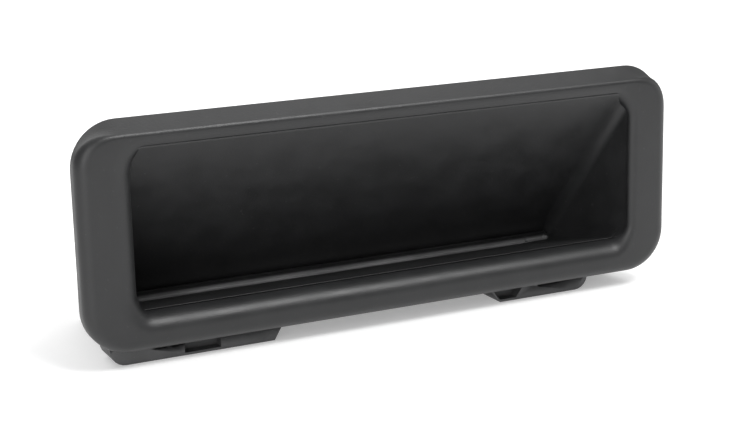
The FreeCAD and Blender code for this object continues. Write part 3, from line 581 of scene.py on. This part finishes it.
rings.append([one if one.x > 0 else other for one, other in zip(*halves)])
stack(rim_mesh, rings, closed=True)
divide_long(rim_mesh, 12.0)
for vert in rim_mesh.verts:
    depth = (vert.co.y - FRONT) / MM
    if depth < RIM_DEPTH - WAVE_FREE:
        wave = fractal(vert.co * WAVE_SCALE, 1.0, 2.0, 2)
        vert.co.y += WAVE * MM * (0.5 + 0.5 * wave) * (1.0 - depth / RIM_DEPTH)
soft_rim = finish_piece(rim_mesh, "soft_rim", "grip_body", ["bezel_skin"], "soft_rim", 50.0)

# %% [markdown]
# ## Pocket lining
# The pocket is one smooth moulding: a back wall that leans forward over the fingers, two drafted
# side walls, and a floor that falls to a rounded crease. A thin lining gives it that continuous
# surface. The release pad's window is cut out of it with bisecting planes.

# %% Pocket lining
CREASE = {"half": 51.6, "low": -20.6, "high": -18.2, "depth": 28.0}
LINING_GAP = 0.06
LINING_SHEET = 0.1
FILLET = 1.0
WINDOW_HALF = 46.3
WINDOW_START = 7.85
roof_rate = (CREASE["high"] - MOUTH["high"]) / (CREASE["depth"] - RIM_DEPTH)
floor_rate = (CREASE["low"] - MOUTH["low"]) / (CREASE["depth"] - RIM_DEPTH)
side_rate = (CREASE["half"] - MOUTH["half"]) / (CREASE["depth"] - RIM_DEPTH)


def roof_at(depth):
    return MOUTH["high"] + roof_rate * (depth - RIM_DEPTH)


def floor_at(depth):
    return MOUTH["low"] + floor_rate * (depth - RIM_DEPTH)


def fillet_circle(radius, clear):
    """Centre of the circle that touches the roof and the floor, both moved inward by clear."""
    roof_push = (radius + clear) * math.hypot(1.0, roof_rate)
    floor_push = (radius + clear) * math.hypot(1.0, floor_rate)
    gap = roof_at(0.0) - roof_push - floor_at(0.0) - floor_push
    depth = gap / (floor_rate - roof_rate)
    return depth, floor_at(depth) + floor_push


LINING_IN = LINING_GAP + LINING_SHEET
fillet_depth, fillet_up = fillet_circle(FILLET, LINING_IN)
roof_lean, floor_lean = math.atan(roof_rate), math.atan(floor_rate)
print("crease fillet centre:", round(fillet_depth, 2), round(fillet_up, 2))

lining_mesh = bmesh.new()
rings = []
roof_touch = (fillet_depth - FILLET * math.sin(roof_lean), fillet_up + FILLET * math.cos(roof_lean))
floor_touch = (fillet_depth + FILLET * math.sin(floor_lean),
               fillet_up - FILLET * math.cos(floor_lean))
TOP_START = (0.5, 17.2)
EDGE_HOLD = 0.01
DEEP_CORNER = 3.0
NEARLY_HALF = 0.49
END_TURN = 80.0
SIDE_START = 1.2
for share in [0.0, EDGE_HOLD] + [step / 14 for step in range(1, 15)]:
    top_depth = TOP_START[0] + (roof_touch[0] - TOP_START[0]) * share
    high = TOP_START[1] + (roof_touch[1] - TOP_START[1]) * share
    low_depth = RIM_DEPTH + (floor_touch[0] - RIM_DEPTH) * share
    side_depth = SIDE_START + (0.5 * (roof_touch[0] + floor_touch[0]) - SIDE_START) * share
    half = MOUTH["half"] + side_rate * (side_depth - RIM_DEPTH) - LINING_IN
    low = floor_at(low_depth) + LINING_IN * math.hypot(1.0, floor_rate)
    radius = MOUTH["radius"] - LINING_IN + (DEEP_CORNER - MOUTH["radius"]) * share
    rings.append(ring(half, low, high, min(radius, NEARLY_HALF * (high - low)),
                      (top_depth, low_depth, side_depth)))
end_half = half
for step in range(1, 7):
    share = step / 7
    top_turn = (math.radians(90.0) - roof_lean) * (1 - share)
    low_turn = (math.radians(90.0) + floor_lean) * (1 - share)
    high = fillet_up + FILLET * math.sin(top_turn)
    low = fillet_up - FILLET * math.sin(low_turn)
    top_depth = fillet_depth + FILLET * math.cos(top_turn)
    low_depth = fillet_depth + FILLET * math.cos(low_turn)
    half = end_half - FILLET * (1 - math.cos(math.radians(END_TURN) * share))
    rings.append(ring(half, low, high, NEARLY_HALF * (high - low),
                      (top_depth, low_depth, 0.5 * (top_depth + low_depth))))
bmesh.ops.holes_fill(lining_mesh, edges=stack(lining_mesh, rings), sides=0)
bmesh.ops.recalc_face_normals(lining_mesh, faces=lining_mesh.faces)
for place, normal in ((at(WINDOW_HALF, 0, 0), (1, 0, 0)), (at(-WINDOW_HALF, 0, 0), (1, 0, 0)),
                      (at(0, WINDOW_START, 0), (0, 1, 0)), (at(0, 0, fillet_up), (0, 0, 1))):
    geometry = lining_mesh.verts[:] + lining_mesh.edges[:] + lining_mesh.faces[:]
    bmesh.ops.bisect_plane(lining_mesh, geom=geometry, plane_co=place, plane_no=normal)
window_corner = at(WINDOW_HALF, WINDOW_START, fillet_up)
in_window = []
for face in lining_mesh.faces:
    middle = face.calc_center_median()
    if abs(middle.x) < window_corner.x and middle.y > window_corner.y and middle.z < window_corner.z:
        in_window.append(face)
bmesh.ops.delete(lining_mesh, geom=in_window, context="FACES")
lining = finish_piece(lining_mesh, "pocket_lining", "grip_body", [], "pocket_liner", 40.0)
sheet = lining.modifiers.new("sheet", "SOLIDIFY")
sheet.thickness = LINING_SHEET * MM
sheet.offset = -1.0

# %% [markdown]
# ## Release pad
# The pad is a soft strip that fills the window in the floor. Its rear edge turns up into the crease
# with the same fillet as the lining; that round, with a painted highlight colour on it, makes the
# bright line at the bottom of the pocket. It is a flat outline, extruded along the grip, with its
# edges bevelled.

# %% Release pad
PAD_HALF = 46.0
PAD_START = 8.3
PAD_SHEET = 1.2
PAD_TURNS = 8
PAD_SINK = 0.1
PAD_TIP, PAD_TIP_DROP = 0.25, 0.2
PAD_BEND, PAD_BACK, PAD_UNDER = 28.2, 29.5, 28.0
PAD_FOOT, PAD_FOOT_SINK = -20.6, 0.1
PAD_EDGE, PAD_EDGE_TURN = 0.25, 50.0

pad_mesh = bmesh.new()
outline = [(PAD_START, floor_at(PAD_START) - PAD_SHEET), (PAD_START, floor_at(PAD_START))]
for step in range(PAD_TURNS + 1):
    turn = (math.radians(90.0) + floor_lean) * (1 - step / PAD_TURNS)
    outline.append((fillet_depth + FILLET * math.cos(turn),
                    fillet_up - FILLET * math.sin(turn) - PAD_SINK * (1 - step / PAD_TURNS)))
outline += [(fillet_depth + FILLET + PAD_TIP, fillet_up - PAD_TIP_DROP),
            (PAD_BEND, PAD_FOOT - PAD_FOOT_SINK), (PAD_BACK, PAD_FOOT - PAD_FOOT_SINK),
            (PAD_BACK, PAD_FOOT - PAD_SHEET), (PAD_UNDER, PAD_FOOT - PAD_SHEET)]
verts = [pad_mesh.verts.new(at(-PAD_HALF, depth, up)) for depth, up in outline]
pad_face = pad_mesh.faces.new(verts)
grown = bmesh.ops.extrude_face_region(pad_mesh, geom=[pad_face])
moved = [item for item in grown["geom"] if isinstance(item, bmesh.types.BMVert)]
bmesh.ops.translate(pad_mesh, vec=Vector((2 * PAD_HALF * MM, 0, 0)), verts=moved)
rounds = [edge for edge in pad_mesh.edges
          if all(face.calc_area() > 0 for face in edge.link_faces) and len(edge.link_faces) == 2
          and edge.calc_face_angle() > math.radians(PAD_EDGE_TURN)]
bmesh.ops.bevel(pad_mesh, geom=rounds, offset=PAD_EDGE * MM, offset_type="OFFSET", segments=3,
                profile=0.5, affect="EDGES", material=-1, clamp_overlap=True)
pad = finish_piece(pad_mesh, "pad_strip", "rocker", ["release_pad"], "pad_rubber", 40.0)


# %% [markdown]
# ## Softened mouldings
# No moulded, cut or turned edge is perfectly sharp, and a sharp edge never catches light. Each
# moulding, seal, gasket, clip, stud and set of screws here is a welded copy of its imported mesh, and
# only the edges where two faces really turn get a small round. Weighted normals keep the large flat
# faces flat beside those rounds. The housing is also drawn in at its flange and at its upper rear
# corners, so that the rim's round corners make the outline.

# %% Softened mouldings
FLANGE_REACH = 6.6
TUCK = 6.6


def tuck_flange(mesh):
    """Draws the flange's edge in behind the rim, so that the rim alone makes the outline."""
    corner_x, corner_z = RIM_HALF - RIM_CORNER, RIM_TALL - RIM_CORNER
    for vert in mesh.verts:
        depth, across = (vert.co.y - FRONT) / MM, vert.co.x / MM
        up = (vert.co.z - MIDDLE) / MM
        if not RIM_DEPTH - 0.1 < depth < FLANGE_REACH or up < -corner_z:
            continue
        out_x, out_z = max(0.0, abs(across) - corner_x), max(0.0, up - corner_z)
        reach = math.hypot(out_x, out_z)
        if reach > TUCK:
            share = TUCK / reach
            vert.co.x = math.copysign(min(abs(across), corner_x + out_x * share), across) * MM
            vert.co.z = MIDDLE + min(up, corner_z + out_z * share) * MM


TUB_START = 2.0
TUB_CENTRE = (44.0, 3.0)
TUB_DRAW = 0.2


def draw_tub_corners(mesh):
    """Draws the tub's upper rear corners in, so that they stay behind the rim's round corners."""
    for vert in mesh.verts:
        depth, across = (vert.co.y - FRONT) / MM, vert.co.x / MM
        out_x = abs(across) - TUB_CENTRE[0]
        out_z = (vert.co.z - MIDDLE) / MM - TUB_CENTRE[1]
        if depth < FLANGE_REACH + TUB_START or out_x <= 0.0 or out_z <= 0.0:
            continue
        share = 1.0 - TUB_DRAW * math.sin(2.0 * math.atan2(out_z, out_x))
        vert.co.x = math.copysign(TUB_CENTRE[0] + out_x * share, across) * MM
        vert.co.z = MIDDLE + (TUB_CENTRE[1] + out_z * share) * MM


def soften(name, label, body, slot, width, segments=2, sharp=32.0):
    """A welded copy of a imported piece, with its sharp edges rounded."""
    mesh = bmesh.new()
    mesh.from_mesh(nodes[name].data)
    bmesh.ops.remove_doubles(mesh, verts=mesh.verts, dist=0.002 * MM)
    if name == "rear_housing":
        tuck_flange(mesh)
        draw_tub_corners(mesh)
    edges = [edge for edge in mesh.edges
             if len(edge.link_faces) == 2 and edge.calc_face_angle() > math.radians(sharp)]
    bmesh.ops.bevel(mesh, geom=edges, offset=width * MM, offset_type="OFFSET", segments=segments,
                    profile=0.5, affect="EDGES", material=-1, clamp_overlap=True,
                    loop_slide=True, miter_outer="ARC")
    bmesh.ops.triangulate(mesh, faces=[face for face in mesh.faces if len(face.verts) > 4])
    piece = finish_piece(mesh, label, body, [name], slot, 32.0)
    even = piece.modifiers.new("even_shading", "WEIGHTED_NORMAL")
    even.keep_sharp = True
    return piece


for name, label, body, width in (
        ("rear_housing", "housing_moulding", "grip_body", 0.22),
        ("release_rocker", "rocker_moulding", "rocker", 0.2),
        ("switch_cover", "chamber_lid", "grip_body", 0.3),
        ("connector_shroud", "connector_moulding", "grip_body", 0.15),
        ("microswitch_base", "switch_base_moulding", "grip_body", 0.12),
        ("microswitch_cover", "switch_case", "grip_body", 0.12),
        ("snap_clip_left", "snap_spring_left", "grip_body", 0.08),
        ("panel_gasket", "foam_gasket", "grip_body", 0.4),
        ("cover_seal", "lid_seal", "grip_body", 0.15),
        ("tray_screws", "tray_screw_set", "grip_body", 0.1),
        ("cover_screws", "lid_screw_set", "grip_body", 0.1),
        ("switch_screws", "switch_screw_set", "grip_body", 0.08),
        ("stud_left", "mounting_stud_left", "grip_body", 0.15),
        ("stud_right", "mounting_stud_right", "grip_body", 0.15),
        ("pocket_tray", "tray_moulding", "grip_body", 0.2),
        ("snap_clip_right", "snap_spring_right", "grip_body", 0.08)):
    soften(name, label, body, slot_of[name], width)

# %% [markdown]
# ## Return springs
# Each coil spring stands between the fixed housing and the rocker's lever, so its two ends belong to
# different bodies. Here each spring stays where the imported one stands, with its place baked into its
# mesh; it is attached to neither body. The imported wire already has its round section, so it is only
# welded.

# %% Return springs
SPRING_FIXED = 2.6
for name, label in (("return_spring_left", "coil_left"), ("return_spring_right", "coil_right")):
    low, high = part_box(name)
    fixed_end = (0.5 * (low.x + high.x), SPRING_FIXED * MM, 0.5 * (low.z + high.z))
    lever_end = (fixed_end[0], high.y, fixed_end[2])
    mesh = bmesh.new()
    mesh.from_mesh(nodes[name].data)
    bmesh.ops.remove_doubles(mesh, verts=mesh.verts, dist=0.0005 * MM)
    finish_piece(mesh, label, ("grip_body", "rocker", fixed_end, lever_end), [name], slot_of[name])
    print(label, "is", round((high.y - low.y) / MM, 2), "mm long at rest")

# %% [markdown]
# ## Floor
# The floor is a wide white plane, very slightly uneven in colour, with a soft glow of its own.

# %% Floor and its finish
floor_mesh = bmesh.new()
bmesh.ops.create_grid(floor_mesh, x_segments=1, y_segments=1, size=3.0)
floor_data = bpy.data.meshes.new("floor")
floor_mesh.to_mesh(floor_data)
floor_mesh.free()
floor = bpy.data.objects.new("floor", floor_data)
bpy.context.scene.collection.objects.link(floor)
floor_material, floor_tree, floor_shader, floor_place = new_material("white_sweep")
floor_shade = remap(floor_tree, noise(floor_tree, floor_place, 8.0, 2.0), 0.0, 1.0, 0.80, 0.82)
floor_tree.links.new(floor_shade, floor_shader.inputs["Base Color"])
floor_shader.inputs["Emission Color"].default_value = (1.0, 1.0, 1.0, 1.0)
floor_shader.inputs["Emission Strength"].default_value = TABLE_GLOW
floor_shader.inputs["Specular IOR Level"].default_value = 0.2
floor_data.materials.append(floor_material)

bpy.context.view_layer.update()
